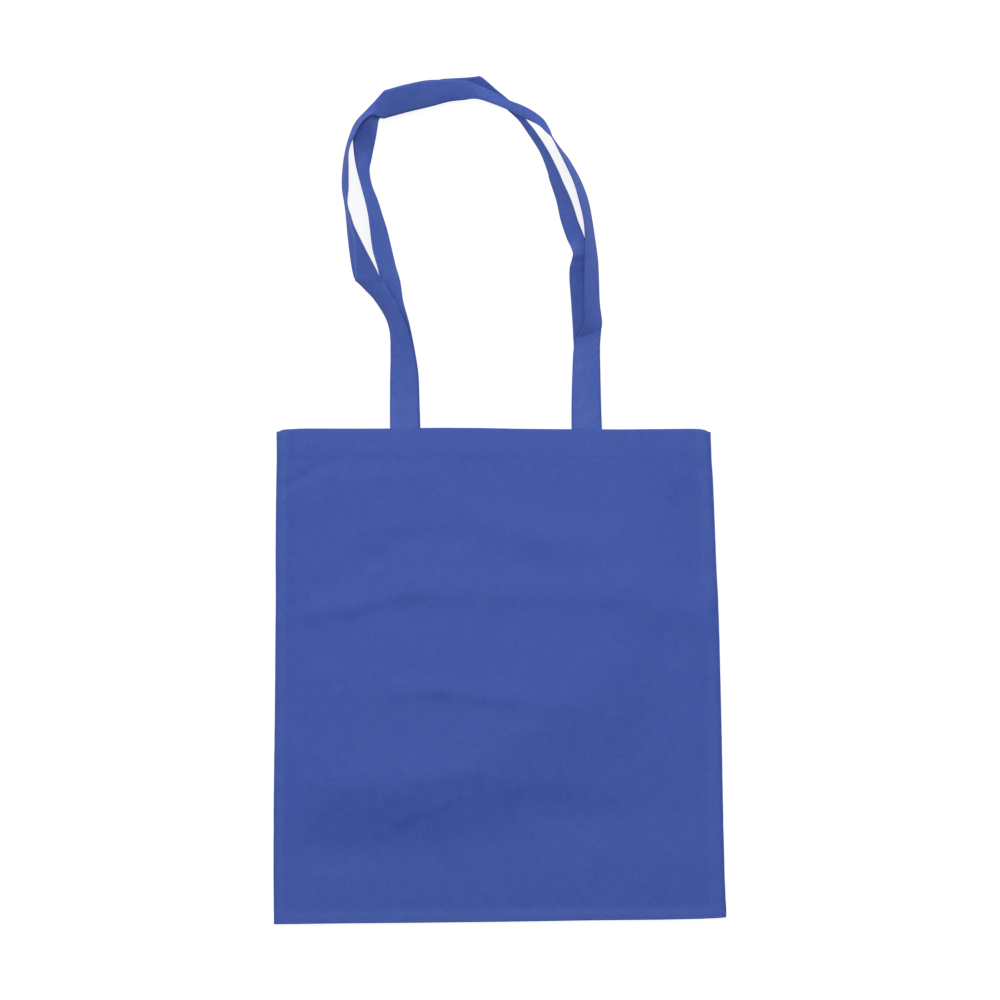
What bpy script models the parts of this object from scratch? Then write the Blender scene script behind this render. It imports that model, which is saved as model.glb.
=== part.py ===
# Long-handled carrier bag of soft non-woven plastic fabric, lying empty on its back.
# Metres, +Z up. The back panel rests at z = 0 and the mouth faces +Y.
import math

import bpy
from mathutils import Vector

# Main sizes
BAG_WIDTH = 0.3882
BAG_HEIGHT = 0.4241
HANDLE_REACH = 0.3016
HANDLE_SPACING = 0.1556
STRAP_WIDTH = 0.025

# Fabric
SHEET = 0.0005
STRAP = 0.0008
STRAP_CROWN = 0.0006
CLOTH_BLUE = (0.054, 0.096, 0.400, 1.0)
STRAP_BLUE = (0.069, 0.116, 0.417, 1.0)
CLOTH_ROUGHNESS = 0.80

# Where the lying bag starts and ends along Y, and the middle between its handle ends
BOTTOM_Y = -(BAG_HEIGHT + HANDLE_REACH) / 2
MOUTH_Y = BOTTOM_Y + BAG_HEIGHT
HANDLE_MIDDLE_X = -0.0036

# How far each side edge stands in from the full width:
# share of the height, left edge, right edge
EDGE_TAPER = (
    (0.00, 0.0004, 0.0003),
    (0.06, 0.0002, 0.0009),
    (0.15, 0.0000, 0.0021),
    (0.33, 0.0006, 0.0037),
    (0.49, 0.0014, 0.0052),
    (0.65, 0.0020, 0.0072),
    (0.88, 0.0023, 0.0114),
    (1.00, 0.0028, 0.0137),
)
BOTTOM_RISE = 0.0046
BOTTOM_CORNER = 0.0011
MOUTH_CORNER = 0.0026
CORNER_SHARE = 0.04

# Spaces between the panels, from fabric middle to fabric middle
SIDE_FOLD = 0.0013
MOUTH_SIDE_FOLD = 0.0032
BELLY = 0.0093
MOUTH_LIFT = 0.0088
FOOT_LIFT_SHARE = 0.16
FOLD_TURN_SHARE = 0.35

# Shares of the height where the panel starts to rise, reaches its full rise,
# eases into the mouth, spreads its side folds and lies calm under the hem
FOOT_LEFT, FOOT_RIGHT = 0.115, 0.215
SHOULDER_LEFT, SHOULDER_RIGHT = 0.30, 0.56
MOUTH_EASE_FROM, MOUTH_EASE_OVER = 0.45, 0.45
SPREAD_FROM, SPREAD_OVER = 0.80, 0.17
CALM_FROM, CALM_OVER, CALM_CUT = 0.90, 0.04, 0.75

# Welded seam along the sides and the bottom
SEAM_WIDTH = 0.0068
SEAM_SOFTNESS = 0.0040
SEAM_RIDGE = 0.0004

# Turned-in hem round the mouth
HEM_DEPTH = 0.0232
HEM_STEP = 0.0008
HEM_MARK = 0.0003

# Soft ridges (+) and hollows (-) of the front panel:
# start x, y, end x, y, half width above, half width below, height
FRONT_FOLDS = (
    (-0.188, 0.008, -0.149, 0.033, 0.004, 0.004, -0.0013),
    (-0.150, -0.076, -0.110, -0.052, 0.012, 0.010, -0.0008),
    (-0.110, -0.052, -0.086, -0.037, 0.012, 0.010, -0.0008),
    (-0.086, -0.037, -0.029, -0.032, 0.012, 0.010, -0.0008),
    (-0.165, -0.098, -0.129, -0.093, 0.013, 0.006, 0.0009),
    (-0.129, -0.093, -0.073, -0.078, 0.013, 0.007, 0.0010),
    (-0.073, -0.078, 0.086, -0.080, 0.017, 0.012, 0.0012),
    (-0.086, -0.165, -0.051, -0.163, 0.012, 0.006, 0.0008),
    (-0.051, -0.163, 0.009, -0.170, 0.012, 0.007, 0.0008),
    (-0.010, -0.021, 0.039, -0.032, 0.017, 0.017, 0.0011),
    (0.039, -0.032, 0.086, -0.041, 0.017, 0.017, 0.0012),
    (0.110, -0.076, 0.176, -0.102, 0.021, 0.019, 0.0016),
    (0.171, -0.095, 0.177, -0.138, 0.014, 0.010, 0.0007),
    (0.154, -0.005, 0.170, -0.059, 0.010, 0.010, -0.0012),
    (0.133, -0.133, 0.129, -0.189, 0.026, 0.026, -0.0012),
    (-0.146, -0.251, -0.077, -0.234, 0.015, 0.026, 0.0008),
    (-0.146, -0.302, -0.086, -0.290, 0.026, 0.019, -0.0008),
    (0.000, -0.240, 0.103, -0.245, 0.015, 0.015, 0.0007),
    (0.069, -0.311, 0.171, -0.306, 0.021, 0.017, 0.0008),
)

# Mesh density: columns between the seams, front columns to each back one, rows, strap steps
MIDDLE_COLUMNS = 30
FRONT_TO_BACK = 4
ROWS = 42
STRAP_STEPS = 2

# Length of strap hidden in the hem, and the heights at which the two handles leave it
STRAP_TUCK = 0.0213
FRONT_STRAP_SEAT = 0.0063
BACK_STRAP_SEAT = 0.00205

# Route of the front handle, from its left end in the hem round to its right end.
# Each station gives the middle of the strap as a share of half the handle spacing sideways,
# a share of the handle reach up from the mouth and a height, then the direction across the
# strap and its lean in degrees, and the share of the width that the gathers leave.
FRONT_ROUTE = (
    (-1.008, 0.074, 0.0062, 180, -8, 0.98),
    (-1.016, 0.159, 0.0071, 180, -19, 0.95),
    (-1.045, 0.246, 0.0097, 179, -39, 0.87),
    (-1.100, 0.303, 0.0109, 172, -46, 0.89),
    (-1.216, 0.358, 0.0112, 172, -44, 0.95),
    (-1.303, 0.389, 0.0112, 174, -38, 1.00),
    (-1.392, 0.420, 0.0110, 175, -33, 1.09),
    (-1.457, 0.460, 0.0115, 180, -42, 1.01),
    (-1.575, 0.561, 0.0121, 173, -68, 0.92),
    (-1.641, 0.627, 0.0123, 173, -83, 0.90),
    (-1.654, 0.683, 0.0121, 168, -75, 0.90),
    (-1.636, 0.785, 0.0118, 157, -81, 0.86),
    (-1.591, 0.824, 0.0115, 138, -77, 0.82),
    (-1.513, 0.866, 0.0115, 151, -74, 0.71),
    (-1.405, 0.894, 0.0123, 104, -54, 0.42),
    (-1.332, 0.907, 0.0128, 89, -2, 0.46),
    (-1.263, 0.915, 0.0135, 86, 19, 0.86),
    (-1.181, 0.921, 0.0137, 88, 25, 1.03),
    (-0.734, 0.949, 0.0126, 99, 23, 0.95),
    (-0.349, 0.958, 0.0133, 84, 19, 0.69),
    (-0.190, 0.952, 0.0147, 77, 7, 0.47),
    (0.140, 0.915, 0.0162, 84, 0, 0.34),
    (0.398, 0.884, 0.0168, 67, 3, 0.35),
    (0.505, 0.865, 0.0160, 62, -38, 0.32),
    (0.576, 0.842, 0.0139, 57, -78, 0.81),
    (0.623, 0.823, 0.0134, 65, -86, 0.96),
    (0.784, 0.757, 0.0131, 32, -78, 0.97),
    (0.968, 0.644, 0.0129, 16, -72, 0.99),
    (1.037, 0.532, 0.0126, 7, -69, 0.98),
    (1.054, 0.419, 0.0122, 4, -60, 0.98),
    (1.058, 0.357, 0.0120, 3, -58, 0.96),
    (1.073, 0.302, 0.0104, 4, -46, 0.84),
    (1.027, 0.260, 0.0056, 9, -16, 0.85),
    (1.002, 0.228, 0.0059, 2, -11, 0.92),
    (0.995, 0.074, 0.0061, 0, -5, 1.02),
)

# Route of the back handle, which lies inside and under the front one
BACK_ROUTE = (
    (-0.997, 0.074, 0.0022, 180, -6, 0.98),
    (-1.006, 0.159, 0.0029, 180, -10, 0.96),
    (-1.036, 0.247, 0.0043, 179, -18, 0.82),
    (-1.070, 0.308, 0.0050, 182, -20, 0.71),
    (-1.122, 0.363, 0.0068, 180, 13, 0.65),
    (-1.158, 0.417, 0.0090, 182, 37, 0.80),
    (-1.246, 0.504, 0.0097, 183, 48, 0.94),
    (-1.326, 0.606, 0.0103, 185, 57, 0.83),
    (-1.424, 0.692, 0.0095, 183, 46, 0.50),
    (-1.459, 0.761, 0.0056, 183, 27, 0.61),
    (-1.457, 0.789, 0.0042, 181, 12, 0.68),
    (-1.423, 0.852, 0.0075, 181, -9, 0.77),
    (-1.377, 0.875, 0.0084, 179, -2, 0.58),
    (-1.290, 0.897, 0.0076, 158, 11, 0.41),
    (-1.169, 0.916, 0.0063, 120, 11, 0.48),
    (-0.977, 0.935, 0.0064, 112, 16, 0.56),
    (-0.586, 0.964, 0.0066, 105, 25, 0.70),
    (-0.339, 0.971, 0.0065, 83, 33, 0.66),
    (-0.204, 0.975, 0.0065, 68, 26, 0.65),
    (-0.036, 0.949, 0.0053, 51, 38, 0.49),
    (0.104, 0.924, 0.0047, 31, 36, 0.37),
    (0.302, 0.872, 0.0080, 16, 10, 0.23),
    (0.526, 0.787, 0.0112, -3, 67, 0.67),
    (0.624, 0.732, 0.0113, -10, 66, 0.86),
    (0.747, 0.646, 0.0104, -5, 58, 0.91),
    (0.808, 0.589, 0.0110, -3, 49, 0.85),
    (0.877, 0.539, 0.0138, 2, 33, 0.70),
    (0.923, 0.493, 0.0168, -3, -2, 0.49),
    (0.922, 0.477, 0.0143, -0, 11, 0.55),
    (0.915, 0.459, 0.0115, -1, 21, 0.67),
    (0.921, 0.419, 0.0093, -1, 21, 0.73),
    (0.943, 0.321, 0.0053, -1, 15, 0.67),
    (0.964, 0.284, 0.0029, -0, 7, 0.73),
    (0.989, 0.259, 0.0010, 1, 1, 0.85),
    (0.997, 0.227, 0.0011, 1, -0, 0.87),
    (0.994, 0.074, 0.0019, 0, -3, 0.96),
)


def clear_scene():
    for old in list(bpy.data.objects):
        bpy.data.objects.remove(old, do_unlink=True)


def make_material(name, colour, roughness):
    material = bpy.data.materials.new(name)
    material.use_nodes = True
    shader = material.node_tree.nodes["Principled BSDF"]
    shader.inputs["Base Color"].default_value = colour
    shader.inputs["Roughness"].default_value = roughness
    shader.inputs["Metallic"].default_value = 0.0
    return material


def smooth(t):
    t = min(max(t, 0.0), 1.0)
    return t * t * (3.0 - 2.0 * t)


def taper(v):
    """How far the left and right edges stand in at height share v."""
    for low, high in zip(EDGE_TAPER, EDGE_TAPER[1:]):
        if v <= high[0]:
            share = (v - low[0]) / (high[0] - low[0])
            return low[1] + (high[1] - low[1]) * share, low[2] + (high[2] - low[2]) * share
    return EDGE_TAPER[-1][1:]


def fold_height(x, y):
    """Sum of the front panel's soft ridges and hollows at one place."""
    height = 0.0
    for ax, ay, bx, by, above, below, rise in FRONT_FOLDS:
        dx, dy = bx - ax, by - ay
        length = math.hypot(dx, dy)
        along = ((x - ax) * dx + (y - ay) * dy) / length
        side = ((y - ay) * dx - (x - ax) * dy) / length
        past_end = max(-along, along - length, 0.0)
        width = above if side > 0 else below
        height += rise * math.exp(-(past_end / (0.6 * (above + below))) ** 2 - (side / width) ** 2)
    return height


def side_gap(v):
    """Space between front and back along the side edges; more layers lie at the mouth."""
    return SIDE_FOLD + (MOUTH_SIDE_FOLD - SIDE_FOLD) * smooth((v - SPREAD_FROM) / SPREAD_OVER)


def panel_rise(s, v):
    """How far the belly has risen at height v; the right side rises later than the left."""
    rightward = smooth((s + 0.4) / 1.2)
    foot = FOOT_LEFT + (FOOT_RIGHT - FOOT_LEFT) * rightward
    shoulder = SHOULDER_LEFT + (SHOULDER_RIGHT - SHOULDER_LEFT) * rightward
    above_foot = smooth((v - foot) / (shoulder - foot))
    return FOOT_LIFT_SHARE * smooth(v / 0.05) + (1.0 - FOOT_LIFT_SHARE) * above_foot


def panel_gap(x, y, s, v):
    """Space between the front and back panels: s runs -1 to 1 across, v 0 to 1 up."""
    side = side_gap(v)
    belly = BELLY * panel_rise(s, v)
    belly += (MOUTH_LIFT - BELLY) * smooth((v - MOUTH_EASE_FROM) / MOUTH_EASE_OVER)
    lens = 1.0 - s ** 4
    inward = (1.0 - abs(s)) * BAG_WIDTH / 2
    upward = v * BAG_HEIGHT
    fade = min(smooth(inward / (1.5 * SEAM_WIDTH)), smooth(v / 0.03))
    calm = 1.0 - CALM_CUT * smooth((v - CALM_FROM) / CALM_OVER)
    seam = 1.0 - smooth((min(inward, upward) - SEAM_WIDTH) / SEAM_SOFTNESS)
    below_hem = smooth(((1.0 - v) * BAG_HEIGHT - HEM_DEPTH) / SEAM_WIDTH) * smooth((v - 0.6) / 0.3)
    gap = side + lens * max(belly - side, 0.0) + fade * calm * fold_height(x, y)
    return gap + SEAM_RIDGE * seam * smooth(inward / 0.002) - HEM_MARK * below_hem * fade


def across_shares():
    """Places across the panel: four at each side seam and the rest spread evenly between."""
    seam = [inward / BAG_WIDTH for inward in (0.0, 0.3 * SEAM_WIDTH, SEAM_WIDTH, SEAM_WIDTH + SEAM_SOFTNESS)]
    start, step = seam[-1], (1.0 - 2.0 * seam[-1]) / MIDDLE_COLUMNS
    between = [start + step * column for column in range(1, MIDDLE_COLUMNS)]
    return seam + between + [1.0 - share for share in reversed(seam)]


def loop_place(t, v, inset, dropped):
    """X, Y and the -1 to 1 share across, at share t from the left edge to the right one."""
    s = 2.0 * t - 1.0
    near_corner = smooth((abs(s) - 1.0 + 2 * CORNER_SHARE) / (2 * CORNER_SHARE))
    bottom = BOTTOM_Y + SHEET / 2 + BOTTOM_RISE * t + BOTTOM_CORNER * near_corner * t
    top = MOUTH_Y - SHEET / 2 - MOUTH_CORNER * near_corner
    y = bottom + (top - bottom) * v - dropped
    left_in, right_in = taper(v)
    margin = SHEET / 2 + side_gap(v) * FOLD_TURN_SHARE + inset
    left = -BAG_WIDTH / 2 + left_in + margin
    right = BAG_WIDTH / 2 - right_in - margin
    return left + (right - left) * t, y, s


def bag_ring(v, inset, lowered, dropped):
    """One closed loop of points round the bag at height v: front, right fold, back, left fold.

    inset pulls the side folds in, lowered brings the loop in from the outer faces,
    and dropped moves it down from the mouth.
    """
    front, back = [], []
    for column, t in enumerate(across_shares()):
        x, y, s = loop_place(t, v, inset, dropped)
        front.append(Vector((x, y, SHEET / 2 + panel_gap(x, y, s, v) - lowered)))
        if column % FRONT_TO_BACK == 0:
            back.append(Vector((x, y, SHEET / 2 + lowered)))
    turn = Vector((side_gap(v) * FOLD_TURN_SHARE, 0, 0))
    left_fold = (front[0] + back[0]) / 2 - turn
    right_fold = (front[-1] + back[-1]) / 2 + turn
    return front + [right_fold] + back[::-1] + [left_fold]


def sheet_object(name, points, faces, thickness, material, collection):
    """A fabric piece: its middle surface, thickened to both sides."""
    mesh = bpy.data.meshes.new(name)
    mesh.from_pydata([tuple(p) for p in points], [], faces)
    mesh.shade_smooth()
    mesh.materials.append(material)
    piece = bpy.data.objects.new(name, mesh)
    collection.objects.link(piece)
    thicken = piece.modifiers.new("Fabric", "SOLIDIFY")
    thicken.thickness = thickness
    thicken.offset = 0.0
    thicken.use_even_offset = True
    return piece


def bottom_faces():
    """The bottom fold, which joins the front panel's lowest edge to the back panel's."""
    columns = len(across_shares()) - 1
    back_columns = columns // FRONT_TO_BACK
    last_back = columns + 2 + back_columns
    faces = [(0, last_back + 1, last_back), (columns, columns + 2, columns + 1)]
    for k in range(back_columns):
        front = range(k * FRONT_TO_BACK, (k + 1) * FRONT_TO_BACK + 1)
        faces.append((last_back - k, last_back - k - 1, *reversed(front)))
    return faces


def make_bag(material, collection):
    """One sheet: back panel, bottom fold, front panel and the hem turned in at the mouth."""
    rings = [bag_ring(row / ROWS, 0.0, 0.0, 0.0) for row in range(ROWS)]
    rings.append(bag_ring(1.0, 0.0, 0.0, HEM_STEP / 2))
    rings.append(bag_ring(1.0, HEM_STEP / 2, HEM_STEP / 2, 0.0))
    for share in (0.03, 0.5, 1.0):
        rings.append(bag_ring(1.0, HEM_STEP, HEM_STEP, HEM_DEPTH * share))
    count = len(rings[0])
    points = [point for ring in rings for point in ring]
    faces = bottom_faces()
    for row in range(len(rings) - 1):
        for i in range(count):
            j = (i + 1) % count
            faces.append((row * count + i, row * count + j, (row + 1) * count + j, (row + 1) * count + i))
    return sheet_object("bag_body", points, faces, SHEET, material, collection)


def station_edges(station):
    """Outer and inner edge points of the strap at one station of its route."""
    sideways, up, z, direction, lean, gather = station
    middle = Vector((HANDLE_MIDDLE_X + sideways * HANDLE_SPACING / 2, MOUTH_Y + up * HANDLE_REACH, z))
    turn, tilt = math.radians(direction), math.radians(lean)
    across = Vector((math.cos(turn) * math.cos(tilt), math.sin(turn) * math.cos(tilt), math.sin(tilt)))
    half = across * gather * STRAP_WIDTH / 2
    return middle + half, middle - half


def tucked_ends(seat):
    """The strap's two ends, flat inside the hem, at the left and the right."""
    left = [station_edges((-1.0, depth, seat, 180, 0, 1.0)) for depth in (-STRAP_TUCK / HANDLE_REACH, 0.0)]
    right = [station_edges((1.0, depth, seat, 0, 0, 1.0)) for depth in (0.0, -STRAP_TUCK / HANDLE_REACH)]
    return left, right


def spline(a, b, c, d, t):
    """Smooth curve through b and c, led by a and d."""
    return 0.5 * (2 * b + (c - a) * t + (2 * a - 5 * b + 4 * c - d) * t * t + (3 * b - a - 3 * c + d) * t ** 3)


def strap_sections(route, seat):
    """Outer and inner edge points all along one handle."""
    left, right = tucked_ends(seat)
    stations = left + [station_edges(station) for station in route] + right
    last = len(stations) - 1
    sections = []
    for i in range(last):
        before, after = stations[max(i - 1, 0)], stations[min(i + 2, last)]
        for step in range(STRAP_STEPS):
            t = step / STRAP_STEPS
            edges = [spline(before[k], stations[i][k], stations[i + 1][k], after[k], t) for k in (0, 1)]
            sections.append(edges)
    sections.append(list(stations[-1]))
    return sections


def make_strap(name, route, seat, material, collection):
    """A strap lofted through its stations, slightly crowned to its upper face."""
    sections = strap_sections(route, seat)
    points = []
    for k, (edge_out, edge_in) in enumerate(sections):
        near, far = sections[max(k - 1, 0)], sections[min(k + 1, len(sections) - 1)]
        run = (far[0] + far[1]) - (near[0] + near[1])
        normal = run.cross(edge_out - edge_in).normalized()
        upward = min(max(normal.z * 3.0, -1.0), 1.0)
        middle = (edge_out + edge_in) / 2 + normal * upward * STRAP_CROWN
        points += [edge_out, middle, edge_in]
    faces = []
    for k in range(len(sections) - 1):
        for side in range(2):
            a = 3 * k + side
            faces.append((a, a + 1, a + 4, a + 3))
    return sheet_object(name, points, faces, STRAP, material, collection)


def main():
    clear_scene()
    collection = bpy.data.collections.new("carrier_bag")
    bpy.context.scene.collection.children.link(collection)
    cloth = make_material("bag_fabric", CLOTH_BLUE, CLOTH_ROUGHNESS)
    webbing = make_material("handle_fabric", STRAP_BLUE, CLOTH_ROUGHNESS)
    make_bag(cloth, collection)
    make_strap("front_handle", FRONT_ROUTE, FRONT_STRAP_SEAT, webbing, collection)
    make_strap("back_handle", BACK_ROUTE, BACK_STRAP_SEAT, webbing, collection)


main()
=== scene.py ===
import math

import bpy
import numpy as np
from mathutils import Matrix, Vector, noise


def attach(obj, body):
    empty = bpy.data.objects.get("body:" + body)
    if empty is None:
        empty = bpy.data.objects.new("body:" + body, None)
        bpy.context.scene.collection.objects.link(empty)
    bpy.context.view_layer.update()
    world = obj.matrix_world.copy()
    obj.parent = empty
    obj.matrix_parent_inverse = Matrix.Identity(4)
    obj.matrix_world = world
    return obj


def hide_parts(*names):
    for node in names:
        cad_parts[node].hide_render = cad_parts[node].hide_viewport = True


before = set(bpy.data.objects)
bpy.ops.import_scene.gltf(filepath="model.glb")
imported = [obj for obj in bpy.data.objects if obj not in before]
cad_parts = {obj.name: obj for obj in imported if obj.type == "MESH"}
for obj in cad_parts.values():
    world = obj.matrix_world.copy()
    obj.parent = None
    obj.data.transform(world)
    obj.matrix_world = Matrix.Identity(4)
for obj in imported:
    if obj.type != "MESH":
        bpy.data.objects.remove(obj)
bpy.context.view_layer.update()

# Thickness of the fabric and of the straps, in metres like every length here
SHEET = 0.0005
STRAP = 0.0009

# Colours as linear values, and their shares where the fibres lie thick and thin
CLOTH_BLUE = (0.0438, 0.0848, 0.3785)
STRAP_BLUE = (0.0655, 0.1140, 0.4090)
DEEP_SHARES = (0.80, 0.88, 0.97)
WASHED_SHARES = (1.20, 1.12, 1.03)
CLUMP_CONTRAST = 1.5
CLOUD_CONTRAST = 1.3

# Tints where cloth lies in more layers, painted shade along the pressed line under the hem, and a painted
# highlight where light catches a fold in the front handle
HEM_TINT = (1.02, 1.03, 0.995)
HEM_LINE_PAINTED_SHADE = (0.90, 0.92, 0.97)
SEAM_TINT = (1.10, 1.15, 1.00)
FOLD_HIGHLIGHT_TINT = (1.50, 1.38, 1.12)

# Painted highlight along the long fold in the front handle, where light catches its ridge: start x, y
# and end x, y of its two stretches, half width, and how it fades in and out in shares of a stretch
PAINTED_FOLD_HIGHLIGHT_LINES = ((-0.1312, 0.2483, -0.1246, 0.2236), (-0.1246, 0.2236, -0.1233, 0.1919))
FOLD_HIGHLIGHT_WIDTH = 0.0013
FOLD_HIGHLIGHT_FADE_IN = (-0.1, 0.05)
FOLD_HIGHLIGHT_FADE_OUT = (1.1, 0.95)

# Patterns in the fabric: turn of the bond point rows, soft edge of a point in shares of the pitch,
# waves per metre of each noise, how much longer the fibres run one way and how they curl
BOND_TURN = 45.0
BOND_EDGE = (0.22, 0.38)
FIBRES = 2600.0
FIBRE_STRETCH = (1.0, 0.35, 1.0)
FIBRE_CURL = 0.8
CLUMPS = 420.0
CLOUDS = 95.0
CLOUD_GRAIN = 0.6
BROAD_CLOUDS = 14.0

# How far each pattern darkens and lightens the colour, and how the clouds vary the roughness
FIBRE_SHADES = (0.92, 1.08)
BROAD_SHADES = (0.975, 1.025)
BOND_SHADES = (0.93, 1.03)
ROUGHNESS_SPREAD = 0.08

# Sheen and coat of the fabric, and the relief of its points and fibres in metres
COAT_ROUGHNESS = 0.38
SHEEN_SHARE = 0.1
SHEEN_ROUGHNESS = 0.45
RELIEF_STRENGTH = 0.55
RELIEF = 0.00018
BOND_RELIEF_SHARE = 0.6
FIBRE_RELIEF_SHARE = 0.4

# Where the tints begin and end: from the left, right and bottom edge and from the mouth
LEFT_SEAM_TINTED = (0.0085, 0.0060)
RIGHT_SEAM_TINTED = (0.0150, 0.0110)
RIGHT_SEAM_SHARE = 0.7
BOTTOM_SEAM_TINTED = (0.0110, 0.0075)
HEM_TINTED = (0.0236, 0.0226)
HEM_LINE_STARTS = (0.0243, 0.0237)
HEM_LINE_ENDS = (0.0228, 0.0234)

# The bag laid out flat, between its side edges and from bottom to mouth
FLAT_WIDTH = 0.380
FLAT_HEIGHT = 0.422

# Outline of the bag seen from above: x, y along the side edges, then share of the width, y along
# the bottom and the mouth
LEFT_EDGE = (
    (-0.1937, -0.3629), (-0.1939, -0.3475), (-0.1940, -0.3347), (-0.1941, -0.3089),
    (-0.1940, -0.2832), (-0.1939, -0.2575), (-0.1935, -0.2232), (-0.1930, -0.1890),
    (-0.1927, -0.1547), (-0.1925, -0.1204), (-0.1921, -0.0861), (-0.1923, -0.0518),
    (-0.1921, -0.0176), (-0.1918, 0.0081), (-0.1913, 0.0339), (-0.1914, 0.0596),
)
RIGHT_EDGE = (
    (0.1939, -0.3578), (0.1939, -0.3501), (0.1933, -0.3432), (0.1925, -0.3218), (0.1920, -0.3004),
    (0.1915, -0.2832), (0.1910, -0.2575), (0.1904, -0.2232), (0.1897, -0.1890), (0.1889, -0.1547),
    (0.1881, -0.1204), (0.1869, -0.0861), (0.1852, -0.0518), (0.1839, -0.0176), (0.1825, 0.0167),
    (0.1813, 0.0339), (0.1804, 0.0596),
)
BOTTOM_EDGE = (
    (0.000, -0.3632), (0.053, -0.3630), (0.142, -0.3625), (0.231, -0.3622), (0.320, -0.3619),
    (0.409, -0.3615), (0.498, -0.3611), (0.587, -0.3606), (0.676, -0.3600), (0.764, -0.3596),
    (0.853, -0.3593), (0.942, -0.3586), (0.987, -0.3578), (1.000, -0.3573),
)
MOUTH_EDGE = (
    (0.000, 0.0584), (0.006, 0.0596), (0.014, 0.0602), (0.055, 0.0610), (0.147, 0.0609),
    (0.240, 0.0609), (0.378, 0.0616), (0.470, 0.0614), (0.562, 0.0607), (0.654, 0.0604),
    (0.793, 0.0602), (0.885, 0.0605), (0.965, 0.0608), (0.982, 0.0605), (0.993, 0.0596),
    (1.000, 0.0582),
)

# Space between the panels: at the side folds and how far those turn outward, in the middle and
# how flat that is across, and at the mouth
SIDE_FOLD = 0.0013
MOUTH_SIDE_FOLD = 0.0032
SIDE_TURN_SHARE = 0.35
BELLY = 0.0093
BELLY_FLATNESS = 4
MOUTH_LIFT = 0.0088

# Where that space opens, in shares of the height, with its start and end
SIDE_OPENS = (0.80, 0.97)
FOOT = (0.0, 0.05)
FOOT_SHARE = 0.16
BELLY_START_LEFT_RIGHT = (0.115, 0.215)
BELLY_END_LEFT_RIGHT = (0.300, 0.560)
BELLY_SKEW = (-0.4, 0.8)
MOUTH_OPENS = (0.45, 0.90)

# Where the folds of the panel die out
EDGE_STRIP = (0.0, 0.010)
BOTTOM_STRIP = (0.0, 0.03)
HEM_STRIP = (0.90, 0.94)
HEM_CALM = 0.75
FOLD_END_SHARE = 0.6

# Hem and seams: turned-in depth, step at the lip, seam width
HEM_DEPTH = 0.0232
HEM_STEP = 0.0008
SEAM = 0.0068

# The lip of the mouth, inward and down in shares of the hem step, and the rows inside it
LIP = ((0.0, 0.5), (0.2, 0.15), (0.5, 0.0), (0.8, 0.15))
INNER_ROWS = (0.03, 0.35, 0.7, 1.0)

# Pressed line under the hem: depth in front and at the back, half width, how far it wavers and
# how often
GROOVE = 0.00028
BACK_GROOVE = 0.00025
GROOVE_WIDTH = 0.0011
GROOVE_WAVER = 0.0006
GROOVE_WAVES = 90.0

# Drop of the single layer below the hem, and ridge and dip along the seams
HEM_DROP = 0.00035
HEM_DROP_WIDTH = 0.003
HEM_DROP_SPAN = (0.6, 0.9)
RIB = 0.0005
RIB_EDGE = 0.0022
LOW_RIB_EDGE = 0.0030
RIB_START = (0.0, 0.002)
DIP = 0.0003
DIP_AWAY = 0.0026
DIP_WIDTH = 0.0022
DIP_START = (0.0, 0.04)

# Unevenness of the cloth: size of its waves, seed and height, its share at the back, and how the
# side edges waver
UNEVEN = ((0.030, 1.7, 0.00022), (0.011, 5.3, 0.00006))
BACK_UNEVEN_SHARE = 0.8
EDGE_WAVE = 0.012
EDGE_WAVER = 0.00010
EDGE_WAVER_FOCUS = 12
LEFT_SEED = 3.1
RIGHT_SEED = 9.7

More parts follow.
